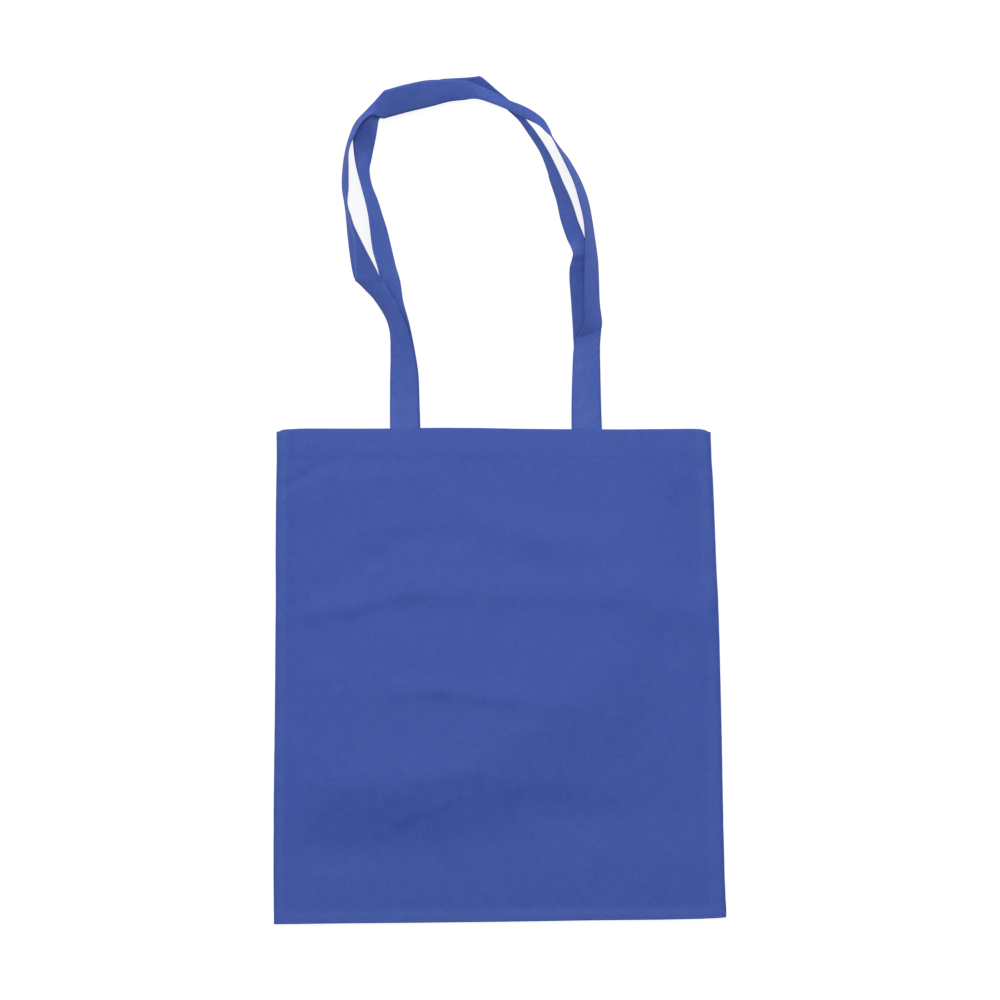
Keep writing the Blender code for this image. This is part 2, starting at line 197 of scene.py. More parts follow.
# Soft folds of the front panel: start x, y, end x, y, half width above, half width below, height
FOLDS = (
    (-0.1877, 0.0081, -0.1491, 0.0330, 0.0043, 0.0043, -0.00130),
    (-0.1731, -0.0047, -0.0857, 0.0253, 0.0309, 0.0171, 0.00085),
    (-0.1500, -0.0758, -0.1097, -0.0518, 0.0120, 0.0103, -0.00080),
    (-0.1097, -0.0518, -0.0857, -0.0373, 0.0120, 0.0103, -0.00080),
    (-0.0857, -0.0373, -0.0291, -0.0321, 0.0120, 0.0103, -0.00080),
    (-0.1645, -0.0981, -0.1285, -0.0930, 0.0129, 0.0060, 0.00090),
    (-0.1285, -0.0930, -0.0728, -0.0776, 0.0129, 0.0069, 0.00100),
    (-0.0728, -0.0776, 0.0857, -0.0801, 0.0171, 0.0120, 0.00120),
    (-0.0857, -0.1650, -0.0514, -0.1633, 0.0120, 0.0060, 0.00080),
    (-0.0514, -0.1633, 0.0086, -0.1701, 0.0120, 0.0069, 0.00080),
    (0.0086, -0.1701, 0.0771, -0.1770, 0.0137, 0.0103, 0.00050),
    (-0.0103, -0.0210, 0.0386, -0.0321, 0.0171, 0.0171, 0.00110),
    (0.0386, -0.0321, 0.0857, -0.0407, 0.0171, 0.0171, 0.00120),
    (0.1097, -0.0758, 0.1757, -0.1016, 0.0206, 0.0189, 0.00160),
    (0.1714, -0.0947, 0.1774, -0.1375, 0.0137, 0.0103, 0.00070),
    (0.1543, -0.0047, 0.1697, -0.0587, 0.0103, 0.0103, -0.00120),
    (0.1328, -0.1333, 0.1285, -0.1890, 0.0257, 0.0257, -0.00120),
    (-0.1457, -0.2507, -0.0771, -0.2335, 0.0154, 0.0257, 0.00080),
    (-0.1457, -0.3021, -0.0857, -0.2901, 0.0257, 0.0189, -0.00080),
    (-0.0874, -0.2721, -0.0497, -0.2592, 0.0069, 0.0060, 0.00050),
    (-0.0643, -0.2387, -0.0257, -0.2318, 0.0103, 0.0086, 0.00060),
    (-0.0386, -0.2490, -0.0257, -0.3089, 0.0103, 0.0137, 0.00050),
    (0.0000, -0.2404, 0.1028, -0.2447, 0.0154, 0.0154, 0.00070),
    (0.0686, -0.3107, 0.1714, -0.3064, 0.0206, 0.0171, 0.00040),
    (0.0514, -0.2704, 0.1028, -0.2832, 0.0154, 0.0137, -0.00035),
    (-0.1714, -0.2190, -0.1457, -0.2232, 0.0137, 0.0137, 0.00040),
    (-0.1800, -0.1204, -0.1800, -0.1718, 0.0069, 0.0051, -0.00050),
    (0.0643, 0.0347, 0.1328, 0.0347, 0.0043, 0.0069, 0.00060),
    (0.1508, 0.0544, 0.1560, 0.0167, 0.0060, 0.0060, 0.00050),
    (0.1003, 0.0544, 0.0994, 0.0407, 0.0034, 0.0034, 0.00040),
    (0.0788, 0.0527, 0.0788, 0.0381, 0.0043, 0.0043, -0.00030),
    (-0.0728, -0.1307, -0.0514, -0.1333, 0.0223, 0.0189, 0.00050),
    (-0.1714, -0.1633, -0.0986, -0.1633, 0.0206, 0.0171, 0.00050),
)

# Creases in the straps: how sharp they are, and start x, y, end x, y, half width on each side, depth
CREASE_SHARPNESS = 1.4
CREASES = (
    (-0.0951, 0.0878, -0.0694, 0.0896, 0.0034, 0.0026, 0.00045),
    (-0.0934, 0.1358, -0.0780, 0.1315, 0.0026, 0.0030, 0.00050),
    (0.0660, 0.1384, 0.0874, 0.1461, 0.0026, 0.0030, 0.00050),
    (0.0643, 0.1161, 0.0857, 0.1230, 0.0026, 0.0026, 0.00035),
    (-0.1264, 0.2327, -0.1236, 0.1924, 0.0077, 0.0026, -0.00170),
    (0.0626, 0.2035, 0.0711, 0.2035, 0.0034, 0.0034, 0.00060),
    (-0.0926, 0.1710, -0.0994, 0.1838, 0.0026, 0.0026, 0.00040),
)

# Faces across and along the bag, how low its extra first row lies, and faces between two stations
# of a strap and across it
COLUMNS = 132
ROWS = 150
FIRST_ROW = 0.0012
STRAP_STEPS = 10
STRAP_ACROSS = 10

# Strap cross-section: flat width, crown, the two pressed lines near the edges, unevenness, and
# how fast the relief fades where the strap turns onto its edge
STRAP_WIDTH = 0.025
CROWN = 0.0006
CHANNEL = 0.00018
CHANNEL_PLACES = (0.11, 0.89)
CHANNEL_WIDTH = 0.035
RIPPLE = 0.00022
RIPPLE_WAVE = 0.018
RIPPLE_ACROSS = 0.02
FRONT_SEED = 2.3
BACK_SEED = 7.9
EDGE_ON_FADE = 3.0

# The straps, edge by edge: one edge x, y, z and the other edge x, y, z
FRONT_STRAP = (
    (-0.0941, 0.0398, 0.0063, -0.0685, 0.0398, 0.0063),
    (-0.0941, 0.0578, 0.0063, -0.0685, 0.0578, 0.0063),
    (-0.0942, 0.0835, 0.0044, -0.0699, 0.0834, 0.0080),
    (-0.0939, 0.1092, 0.0032, -0.0714, 0.1090, 0.0110),
    (-0.0934, 0.1358, 0.0028, -0.0764, 0.1354, 0.0165),
    (-0.0968, 0.1537, 0.0028, -0.0815, 0.1515, 0.0190),
    (-0.1066, 0.1704, 0.0030, -0.0898, 0.1681, 0.0195),
    (-0.1148, 0.1796, 0.0034, -0.0952, 0.1775, 0.0190),
    (-0.1205, 0.1858, 0.0036, -0.0989, 0.1846, 0.0184),
    (-0.1233, 0.1888, 0.0036, -0.1005, 0.1870, 0.0185),
    (-0.1243, 0.1918, 0.0034, -0.1024, 0.1899, 0.0190),
    (-0.1263, 0.2000, 0.0030, -0.1075, 0.2001, 0.0200),
    (-0.1285, 0.2137, 0.0020, -0.1143, 0.2133, 0.0214),
    (-0.1305, 0.2309, 0.0014, -0.1218, 0.2299, 0.0228),
    (-0.1326, 0.2506, 0.0012, -0.1300, 0.2503, 0.0235),
    (-0.1351, 0.2677, 0.0012, -0.1295, 0.2665, 0.0230),
    (-0.1346, 0.2840, 0.0012, -0.1295, 0.2827, 0.0230),
    (-0.1325, 0.2986, 0.0012, -0.1293, 0.2973, 0.0225),
    (-0.1290, 0.3114, 0.0014, -0.1257, 0.3084, 0.0215),
    (-0.1235, 0.3237, 0.0030, -0.1191, 0.3213, 0.0200),
    (-0.1136, 0.3340, 0.0080, -0.1121, 0.3280, 0.0165),
    (-0.1072, 0.3406, 0.0125, -0.1073, 0.3291, 0.0130),
    (-0.1011, 0.3473, 0.0170, -0.1026, 0.3269, 0.0100),
    (-0.0985, 0.3497, 0.0188, -0.0992, 0.3264, 0.0088),
    (-0.0952, 0.3506, 0.0192, -0.0958, 0.3274, 0.0082),
    (-0.0819, 0.3543, 0.0188, -0.0787, 0.3321, 0.0076),
    (-0.0623, 0.3584, 0.0172, -0.0590, 0.3368, 0.0080),
    (-0.0453, 0.3587, 0.0165, -0.0436, 0.3408, 0.0088),
    (-0.0299, 0.3583, 0.0160, -0.0316, 0.3420, 0.0105),
    (-0.0171, 0.3541, 0.0155, -0.0197, 0.3427, 0.0140),
    (-0.0043, 0.3481, 0.0155, -0.0051, 0.3380, 0.0160),
    (0.0077, 0.3416, 0.0162, 0.0068, 0.3331, 0.0162),
    (0.0188, 0.3372, 0.0170, 0.0162, 0.3281, 0.0160),
    (0.0290, 0.3317, 0.0170, 0.0256, 0.3238, 0.0165),
    (0.0372, 0.3249, 0.0135, 0.0341, 0.3193, 0.0185),
    (0.0424, 0.3170, 0.0040, 0.0401, 0.3134, 0.0238),
    (0.0452, 0.3104, 0.0014, 0.0445, 0.3088, 0.0254),
    (0.0524, 0.3003, 0.0012, 0.0503, 0.2978, 0.0252),
    (0.0595, 0.2909, 0.0012, 0.0552, 0.2881, 0.0250),
    (0.0690, 0.2737, 0.0012, 0.0629, 0.2713, 0.0248),
    (0.0754, 0.2566, 0.0012, 0.0679, 0.2545, 0.0246),
    (0.0788, 0.2395, 0.0012, 0.0716, 0.2379, 0.0244),
    (0.0814, 0.2223, 0.0012, 0.0727, 0.2213, 0.0240),
    (0.0837, 0.2052, 0.0014, 0.0727, 0.2043, 0.0230),
    (0.0845, 0.1880, 0.0016, 0.0723, 0.1872, 0.0226),
    (0.0852, 0.1692, 0.0020, 0.0724, 0.1685, 0.0205),
    (0.0872, 0.1529, 0.0030, 0.0726, 0.1521, 0.0152),
    (0.0868, 0.1456, 0.0030, 0.0692, 0.1436, 0.0118),
    (0.0863, 0.1413, 0.0032, 0.0663, 0.1381, 0.0094),
    (0.0856, 0.1306, 0.0038, 0.0631, 0.1296, 0.0080),
    (0.0859, 0.1092, 0.0044, 0.0619, 0.1082, 0.0084),
    (0.0865, 0.0835, 0.0050, 0.0612, 0.0834, 0.0072),
    (0.0873, 0.0578, 0.0063, 0.0612, 0.0578, 0.0063),
    (0.0873, 0.0398, 0.0063, 0.0612, 0.0398, 0.0063),
)
BACK_STRAP = (
    (-0.0929, 0.0398, 0.0020, -0.0681, 0.0398, 0.0020),
    (-0.0929, 0.0578, 0.0020, -0.0681, 0.0578, 0.0020),
    (-0.0934, 0.0835, 0.0010, -0.0689, 0.0835, 0.0034),
    (-0.0937, 0.1092, 0.0008, -0.0700, 0.1092, 0.0050),
    (-0.0939, 0.1358, 0.0011, -0.0744, 0.1356, 0.0075),
    (-0.0952, 0.1538, 0.0019, -0.0785, 0.1544, 0.0080),
    (-0.0988, 0.1707, 0.0085, -0.0830, 0.1708, 0.0050),
    (-0.1017, 0.1867, 0.0150, -0.0856, 0.1871, 0.0030),
    (-0.1045, 0.1994, 0.0180, -0.0894, 0.2000, 0.0016),
    (-0.1084, 0.2130, 0.0185, -0.0927, 0.2138, 0.0010),
    (-0.1107, 0.2300, 0.0190, -0.0968, 0.2309, 0.0008),
    (-0.1124, 0.2437, 0.0190, -0.1011, 0.2446, 0.0015),
    (-0.1151, 0.2558, 0.0170, -0.1048, 0.2565, 0.0040),
    (-0.1188, 0.2696, 0.0140, -0.1100, 0.2701, 0.0050),
    (-0.1220, 0.2817, 0.0120, -0.1119, 0.2826, 0.0030),
    (-0.1239, 0.2904, 0.0090, -0.1103, 0.2912, 0.0022),
    (-0.1252, 0.2991, 0.0060, -0.1086, 0.2994, 0.0024),
    (-0.1259, 0.3094, 0.0055, -0.1063, 0.3094, 0.0060),
    (-0.1238, 0.3180, 0.0060, -0.1048, 0.3182, 0.0090),
    (-0.1179, 0.3253, 0.0082, -0.1035, 0.3251, 0.0086),
    (-0.1086, 0.3336, 0.0086, -0.0993, 0.3299, 0.0066),
    (-0.0975, 0.3427, 0.0074, -0.0916, 0.3326, 0.0052),
    (-0.0821, 0.3495, 0.0084, -0.0771, 0.3369, 0.0044),
    (-0.0624, 0.3558, 0.0095, -0.0591, 0.3412, 0.0040),
    (-0.0513, 0.3596, 0.0103, -0.0471, 0.3443, 0.0030),
    (-0.0402, 0.3605, 0.0105, -0.0394, 0.3460, 0.0025),
    (-0.0291, 0.3610, 0.0110, -0.0308, 0.3474, 0.0020),
    (-0.0205, 0.3619, 0.0112, -0.0257, 0.3484, 0.0020),
    (-0.0167, 0.3621, 0.0110, -0.0223, 0.3487, 0.0024),
    (-0.0120, 0.3586, 0.0105, -0.0180, 0.3482, 0.0024),
    (-0.0034, 0.3511, 0.0090, -0.0094, 0.3436, 0.0015),
    (0.0077, 0.3420, 0.0075, 0.0013, 0.3381, 0.0020),
    (0.0158, 0.3332, 0.0085, 0.0098, 0.3311, 0.0050),
    (0.0227, 0.3250, 0.0085, 0.0171, 0.3234, 0.0075),
    (0.0296, 0.3158, 0.0130, 0.0234, 0.3151, 0.0055),
    (0.0406, 0.2983, 0.0190, 0.0341, 0.2987, 0.0035),
    (0.0493, 0.2811, 0.0210, 0.0406, 0.2827, 0.0015),
    (0.0529, 0.2726, 0.0210, 0.0428, 0.2742, 0.0008),
    (0.0606, 0.2556, 0.0200, 0.0485, 0.2566, 0.0008),
    (0.0662, 0.2386, 0.0190, 0.0523, 0.2394, 0.0030),
    (0.0719, 0.2241, 0.0185, 0.0573, 0.2237, 0.0090),
    (0.0736, 0.2147, 0.0175, 0.0609, 0.2152, 0.0150),
    (0.0743, 0.2097, 0.0165, 0.0622, 0.2102, 0.0170),
    (0.0748, 0.2050, 0.0153, 0.0613, 0.2050, 0.0150),
    (0.0754, 0.1995, 0.0137, 0.0597, 0.1996, 0.0124),
    (0.0759, 0.1945, 0.0120, 0.0594, 0.1946, 0.0099),
    (0.0765, 0.1877, 0.0106, 0.0595, 0.1878, 0.0078),
    (0.0770, 0.1690, 0.0078, 0.0610, 0.1691, 0.0042),
    (0.0779, 0.1579, 0.0056, 0.0617, 0.1580, 0.0028),
    (0.0805, 0.1469, 0.0034, 0.0624, 0.1469, 0.0016),
    (0.0840, 0.1397, 0.0011, 0.0627, 0.1392, 0.0009),
    (0.0848, 0.1298, 0.0011, 0.0631, 0.1295, 0.0012),
    (0.0852, 0.1092, 0.0013, 0.0621, 0.1084, 0.0026),
    (0.0857, 0.0835, 0.0012, 0.0618, 0.0835, 0.0026),
    (0.0865, 0.0578, 0.0020, 0.0621, 0.0578, 0.0020),
    (0.0865, 0.0398, 0.0020, 0.0621, 0.0398, 0.0020),
)

# Sockets of a node that mixes vectors
MIX_SOCKETS = (0, 4, 5)
MIX_RESULT = 1

# Floor: half its side, its level, how light it looks and how much light it gives back
FLOOR_REACH = 6.0
FLOOR_LEVEL = -0.0002
FLOOR_SHADE = 0.26
FLOOR_GLOW = 0.84
FLOOR_BOUNCE = 0.86

# Lamps: name, place, width and height, watts. All look at the middle of the part
LAMPS = (
    ("key_right", (1.6, 1.8, 1.5), (1.4, 1.4), 32.0),
    ("key_left", (-1.7, 1.3, 1.5), (1.2, 1.2), 28.0),
    ("overhead", (0.2, 0.6, 5.6), (2.4, 2.4), 95.0),
)
SKY = 0.28

# Camera straight above the part, as in the photo
CAMERA_HEIGHT = 4.761
CAMERA_LENS = 200.0
CAMERA_SENSOR = 36.0
CAMERA_REACH = 50.0


def smooth(t):
    """0 below 0, 1 above 1 and a soft step between."""
    t = np.clip(t, 0.0, 1.0)
    return t * t * (3.0 - 2.0 * t)


def grow(value, span):
    """A soft step from 0 at the span's start to 1 at its end."""
    start, end = span
    return smooth((value - start) / (end - start))


def bell(distance, width):
    """1 at distance 0, falling off alike on both sides."""
    return np.exp(-(distance / width) ** 2)


def blend(pair, share):
    """The first of a pair at share 0 and the second at share 1."""
    return pair[0] + (pair[1] - pair[0]) * share


def along_edge(points, y):
    """X of a side edge at height y, on straight lines between its points."""
    ys = [p[1] for p in points]
    xs = [p[0] for p in points]
    return np.interp(y, ys, xs)


def wrinkle(x, y, scale, seed):
    """Smooth seeded noise between -1 and 1."""
    return noise.noise(Vector((x / scale, y / scale, seed)))


def ridge(x, y, row):
    """Height of one soft fold at x, y, with its own softness on each side."""
    ax, ay, bx, by, above, below, rise = row
    dx, dy = bx - ax, by - ay
    length = math.hypot(dx, dy)
    t = ((x - ax) * dx + (y - ay) * dy) / length ** 2
    side = ((y - ay) * dx - (x - ax) * dy) / length
    past_end = np.maximum(np.maximum(-t, t - 1.0), 0.0) * length
    width = np.where(side > 0, above, below)
    return rise * bell(past_end, FOLD_END_SHARE * (above + below)) * bell(side, width)


def front_relief(x, y):
    """Height of all the soft folds together."""
    height = 0.0
    for row in FOLDS:
        height = height + ridge(x, y, row)
    return height


def fine_relief(x, y):
    """Small unevenness of the cloth at each point."""
    return np.array([
        sum(wrinkle(px, py, wave, seed) * height for wave, seed, height in UNEVEN)
        for px, py in zip(x, y)
    ])


def ring_places(level, side, inset, dropped):
    """X and y of the points across the bag at a level from 0 at the bottom to 1 at the mouth."""
    t = np.linspace(0.0, 1.0, COLUMNS + 1)
    s = 2.0 * t - 1.0
    bottom = np.interp(t, *zip(*BOTTOM_EDGE))
    top = np.interp(t, *zip(*MOUTH_EDGE))
    y = bottom + (top - bottom) * level - dropped
    margin = side * SIDE_TURN_SHARE + SHEET / 2 + inset
    left = along_edge(LEFT_EDGE, y) + margin
    right = along_edge(RIGHT_EDGE, y) - margin
    x = left + (right - left) * t
    waver = np.array([
        wrinkle(py, 0.0, EDGE_WAVE, LEFT_SEED if ps < 0 else RIGHT_SEED) for py, ps in zip(y, s)
    ])
    return x + EDGE_WAVER * waver * np.abs(s) ** EDGE_WAVER_FOCUS, y, s, top


def panel_space(level, s, side):
    """Space between the panels without folds, widest in the middle and at the mouth."""
    skew = grow(s, BELLY_SKEW)
    start = blend(BELLY_START_LEFT_RIGHT, skew)
    end = blend(BELLY_END_LEFT_RIGHT, skew)
    rise = FOOT_SHARE * grow(level, FOOT) + (1.0 - FOOT_SHARE) * grow(level, (start, end))
    belly = BELLY * rise + (MOUTH_LIFT - BELLY) * grow(level, MOUTH_OPENS)
    return side + (1.0 - np.abs(s) ** BELLY_FLATNESS) * np.maximum(belly - side, 0.0)


def bag_ring(level, inset=0.0, lowered=0.0, dropped=0.0):
    """A closed loop of points round the bag at a level from 0 at the bottom to 1 at the mouth.

    For the turned-in hem it is inset at the sides, its panels move together and it drops.
    """
    side = SIDE_FOLD + (MOUTH_SIDE_FOLD - SIDE_FOLD) * grow(level, SIDE_OPENS)
    x, y, s, top = ring_places(level, side, inset, dropped)
    inward = (1.0 - np.abs(s)) * FLAT_WIDTH / 2
    fade = np.minimum(grow(inward, EDGE_STRIP), grow(level, BOTTOM_STRIP))
    calm = 1.0 - HEM_CALM * grow(level, HEM_STRIP)
    fine = fine_relief(x, y)
    gap = panel_space(level, s, side) + fade * (calm * front_relief(x, y) + fine)
    hem_line = top - HEM_DEPTH
    groove = bell(y - hem_line - GROOVE_WAVER * np.sin(x * GROOVE_WAVES), GROOVE_WIDTH)
    single = smooth((hem_line - y) / HEM_DROP_WIDTH) * grow(level, HEM_DROP_SPAN)
    gap = gap - (GROOVE * groove + HEM_DROP * single) * fade
    rib = 1.0 - smooth((inward - SEAM) / RIB_EDGE)
    low_rib = 1.0 - smooth((level * FLAT_HEIGHT - SEAM) / LOW_RIB_EDGE)
    gap = gap + RIB * np.maximum(rib, low_rib) * grow(inward, RIB_START)
    gap = gap - DIP * bell(inward - SEAM - DIP_AWAY, DIP_WIDTH) * grow(level, DIP_START)
    under = BACK_GROOVE * groove + BACK_UNEVEN_SHARE * np.maximum(fine, 0.0)
    front = np.stack([x, y, SHEET / 2 + gap - lowered], axis=1)
    back = np.stack([x, y, SHEET / 2 + lowered + fade * under], axis=1)
    turn = np.array([side * SIDE_TURN_SHARE, 0.0, 0.0])
    left_fold = (front[0] + back[0]) / 2 - turn
    right_fold = (front[-1] + back[-1]) / 2 + turn
    return np.concatenate([front, [right_fold], back[::-1], [left_fold]])


def new_piece(name, points, faces, uvs, material, thickness):
    """A sheet piece: its middle surface thickened to both sides, applied to one closed mesh."""
    mesh = bpy.data.meshes.new(name)
    mesh.from_pydata([tuple(p) for p in points], [], faces)
    mesh.polygons.foreach_set("use_smooth", [True] * len(mesh.polygons))
    layer = mesh.uv_layers.new(name="cloth")
    loops = np.zeros(len(mesh.loops), np.int32)
    mesh.loops.foreach_get("vertex_index", loops)
    layer.data.foreach_set("uv", np.asarray(uvs, np.float32)[loops].ravel())
    mesh.materials.append(material)
    piece = bpy.data.objects.new(name, mesh)
    bpy.context.scene.collection.objects.link(piece)
    thicken = piece.modifiers.new("Fabric", "SOLIDIFY")
    thicken.thickness = thickness
    thicken.offset = 0.0
    thicken.use_even_offset = True
    bpy.context.view_layer.update()
    graph = bpy.context.evaluated_depsgraph_get()
    whole = bpy.data.meshes.new_from_object(piece.evaluated_get(graph))
    piece.modifiers.clear()
    piece.data = whole
    whole.name = name
    bpy.data.meshes.remove(mesh)
    return piece


def flat_places(levels):
    """Where each point lies on the flat cloth, in metres from the bottom left corner."""
    across = np.linspace(0.0, FLAT_WIDTH, COLUMNS + 1)
    lap = np.concatenate([across, [FLAT_WIDTH], across[::-1], [0.0]])
    places = []
    for level in levels:
        places.append(np.stack([lap, np.full_like(lap, FLAT_HEIGHT * level)], axis=1))
    return np.concatenate(places)


def make_bag(material):
    """Rings from the bottom to the mouth, over the lip and down inside, closed at the bottom."""
    levels = [0.0, FIRST_ROW] + [row / ROWS for row in range(1, ROWS)]
    rings = [bag_ring(level) for level in levels]
    for inward, down in LIP:
        rings.append(bag_ring(1.0, HEM_STEP * inward, HEM_STEP * inward, HEM_STEP * down))
    for share in INNER_ROWS:
        rings.append(bag_ring(1.0, HEM_STEP, HEM_STEP, HEM_DEPTH * share))
    count = len(rings[0])
    faces = []
    for row in range(len(rings) - 1):
        for i in range(count):
            j = (i + 1) % count
            faces.append((row * count + i, row * count + j, (row + 1) * count + j, (row + 1) * count + i))
    for column in range(COLUMNS):
        opposite = 2 * COLUMNS + 2 - column
        faces.append((column, opposite, opposite - 1, column + 1))
    faces.append((COLUMNS, COLUMNS + 2, COLUMNS + 1))
    faces.append((0, count - 1, 2 * COLUMNS + 2))
    uvs = flat_places(levels + [1.0] * (len(rings) - len(levels)))
    return new_piece("bag_cloth", np.concatenate(rings), faces, uvs, material, SHEET)


def spline(a, b, c, d, t):
    """A smooth curve from b to c, bent by the point a before it and the point d after it."""
    return 0.5 * (
        2 * b + (c - a) * t + (2 * a - 5 * b + 4 * c - d) * t * t + (3 * b - a - 3 * c + d) * t ** 3
    )


def crease_depth(x, y):
    """How deep the creases press a strap at x, y."""
    depth = 0.0
    for ax, ay, bx, by, above, below, deep in CREASES:
        dx, dy = bx - ax, by - ay
        t = min(max(((x - ax) * dx + (y - ay) * dy) / (dx * dx + dy * dy), 0.0), 1.0)
        away = math.hypot(x - ax - t * dx, y - ay - t * dy)
        width = above if (y - ay) * dx > (x - ax) * dy else below
        depth += deep * math.exp(-(away / width) ** CREASE_SHARPNESS)
    return depth


def strap_edges(stations):
    """Both edges of a strap, on smooth curves through its stations."""
    rows = np.array(stations)
    last = len(rows) - 1
    places = []
    for i in range(last):
        before, after = max(i - 1, 0), min(i + 2, last)
        for step in range(STRAP_STEPS):
            places.append(spline(rows[before], rows[i], rows[i + 1], rows[after], step / STRAP_STEPS))
    places.append(rows[-1])
    places = np.array(places)
    return places[:, :3], places[:, 3:]


def strap_relief(w, run, seed):
    """Crown, pressed lines and unevenness at share w of the width."""
    crown = CROWN * (1.0 - (2 * w - 1) ** 2)
    channels = CHANNEL * sum(math.exp(-((w - place) / CHANNEL_WIDTH) ** 2) for place in CHANNEL_PLACES)
    ripple = RIPPLE * wrinkle(run, w * RIPPLE_ACROSS, RIPPLE_WAVE, seed) * math.sin(math.pi * w)
    return crown - channels + ripple


def make_strap(name, stations, material, seed):
    """A strap along its stations, with its uv along the run and across the width in metres."""
    low, high = strap_edges(stations)
    middle = (low + high) / 2
    up = np.cross(np.gradient(middle, axis=0), low - high)
    up /= np.linalg.norm(up, axis=1)[:, None]
    # The relief fades out and changes side where the strap stands on its edge
    bulge = np.clip(up[:, 2] * EDGE_ON_FADE, -1.0, 1.0)
    steps = np.linalg.norm(np.diff(middle, axis=0), axis=1)
    run = np.concatenate([[0.0], np.cumsum(steps)])
    points, uvs = [], []
    for k in range(len(low)):
        for a in range(STRAP_ACROSS + 1):
            w = a / STRAP_ACROSS
            p = low[k] + (high[k] - low[k]) * w
            relief = strap_relief(w, run[k], seed) - crease_depth(p[0], p[1])
            points.append(p + up[k] * bulge[k] * relief)
            uvs.append((run[k], w * STRAP_WIDTH))
    faces = []
    wide = STRAP_ACROSS + 1
    for k in range(len(low) - 1):
        for a in range(STRAP_ACROSS):
            b = k * wide + a
            faces.append((b, b + 1, b + wide + 1, b + wide))
    return new_piece(name, points, faces, uvs, material, STRAP)


def feed(tree, socket, value):
    """Links another node's output to a socket, or sets the socket to a fixed value."""
    if hasattr(value, "is_output"):
        tree.links.new(value, socket)
    else:
        socket.default_value = value


def math_node(tree, operation, *values):
    """A sum, product or the like of sockets or numbers."""
    node = tree.nodes.new("ShaderNodeMath")
    node.operation = operation
    for socket, value in zip(node.inputs, values):
        feed(tree, socket, value)
    return node.outputs[0]


def between(tree, value, low, high):
    """Low where the value is 0 and high where it is 1."""
    return math_node(tree, "MULTIPLY_ADD", value, high - low, low)


def step_mask(tree, value, span):
    """0 before the span's start, 1 past its end, soft between."""
    node = tree.nodes.new("ShaderNodeMapRange")
    node.interpolation_type = "SMOOTHSTEP"
    node.inputs["From Min"].default_value, node.inputs["From Max"].default_value = span
    feed(tree, node.inputs["Value"], value)
    return node.outputs["Result"]


def from_end(span, length):
    """A span counted from the far end of a length."""
    return length - span[0], length - span[1]


def scaled(tree, vector, factor):
    """A colour vector times a factor, which is a socket or a vector."""
    node = tree.nodes.new("ShaderNodeVectorMath")
    node.operation = "SCALE" if hasattr(factor, "is_output") else "MULTIPLY"
    feed(tree, node.inputs[0], vector)
    feed(tree, node.inputs["Scale" if node.operation == "SCALE" else 1], factor)
    return node.outputs["Vector"]


def mixed(tree, share, first, second):
    """The first vector where the share is 0 and the second where it is 1."""
    node = tree.nodes.new("ShaderNodeMix")
    node.data_type = "VECTOR"
    for socket, value in zip(MIX_SOCKETS, (share, first, second)):
        feed(tree, node.inputs[socket], value)
    return node.outputs[MIX_RESULT]


def tinted(tree, colour, mask, tint):
    """The colour where the mask is 0 and the colour times the tint where it is 1."""
    return mixed(tree, mask, colour, scaled(tree, colour, tint))


def noise_node(tree, vector, scale, detail, roughness=0.5, distortion=0.0):
    """Noise around 0.5, with the scale as its waves in a metre."""
    node = tree.nodes.new("ShaderNodeTexNoise")
    node.inputs["Scale"].default_value = scale
    node.inputs["Detail"].default_value = detail
    node.inputs["Roughness"].default_value = roughness
    node.inputs["Distortion"].default_value = distortion
    feed(tree, node.inputs["Vector"], vector)
    return node.outputs["Fac"]


def placed(tree, vector, scale, turn=0.0):
    """Coordinates scaled and turned in their plane."""
    node = tree.nodes.new("ShaderNodeMapping")
    node.inputs["Rotation"].default_value = (0.0, 0.0, math.radians(turn))
    node.inputs["Scale"].default_value = scale
    feed(tree, node.inputs["Vector"], vector)
    return node.outputs["Vector"]


def bond_points(tree, flat, pitch):
    """The embossed pattern: 0 inside each pressed point and 1 between the points."""
    cells = tree.nodes.new("ShaderNodeTexVoronoi")
    cells.voronoi_dimensions = "2D"
    cells.inputs["Scale"].default_value = 1.0
    cells.inputs["Randomness"].default_value = 0.0
    rows = placed(tree, flat, (1 / pitch, 1 / pitch, 1 / pitch), BOND_TURN)
    feed(tree, cells.inputs["Vector"], rows)
    return step_mask(tree, cells.outputs["Distance"], BOND_EDGE)


def seam_layers_and_hem_shade(tree, flat, colour):
    """Paler where the cloth lies in more layers: side seams, bottom seam and hem. Darker along the
    pressed line under the hem, as painted shade.
    """
    split = tree.nodes.new("ShaderNodeSeparateXYZ")
    feed(tree, split.inputs["Vector"], flat)
    x, y = split.outputs["X"], split.outputs["Y"]
    left = step_mask(tree, x, LEFT_SEAM_TINTED)
    right = step_mask(tree, x, from_end(RIGHT_SEAM_TINTED, FLAT_WIDTH))
    bottom = step_mask(tree, y, BOTTOM_SEAM_TINTED)
    hem = step_mask(tree, y, from_end(HEM_TINTED, FLAT_HEIGHT))
    sides = math_node(tree, "MAXIMUM", left, math_node(tree, "MULTIPLY", right, RIGHT_SEAM_SHARE))
    edges = math_node(tree, "MAXIMUM", sides, bottom)
    # Painted shade: a thin darker band along the pressed line under the hem
    above = step_mask(tree, y, from_end(HEM_LINE_STARTS, FLAT_HEIGHT))
    below = step_mask(tree, y, from_end(HEM_LINE_ENDS, FLAT_HEIGHT))
    line = math_node(tree, "MULTIPLY", above, below)
    colour = tinted(tree, tinted(tree, colour, hem, HEM_TINT), line, HEM_LINE_PAINTED_SHADE)
    return tinted(tree, colour, edges, SEAM_TINT)


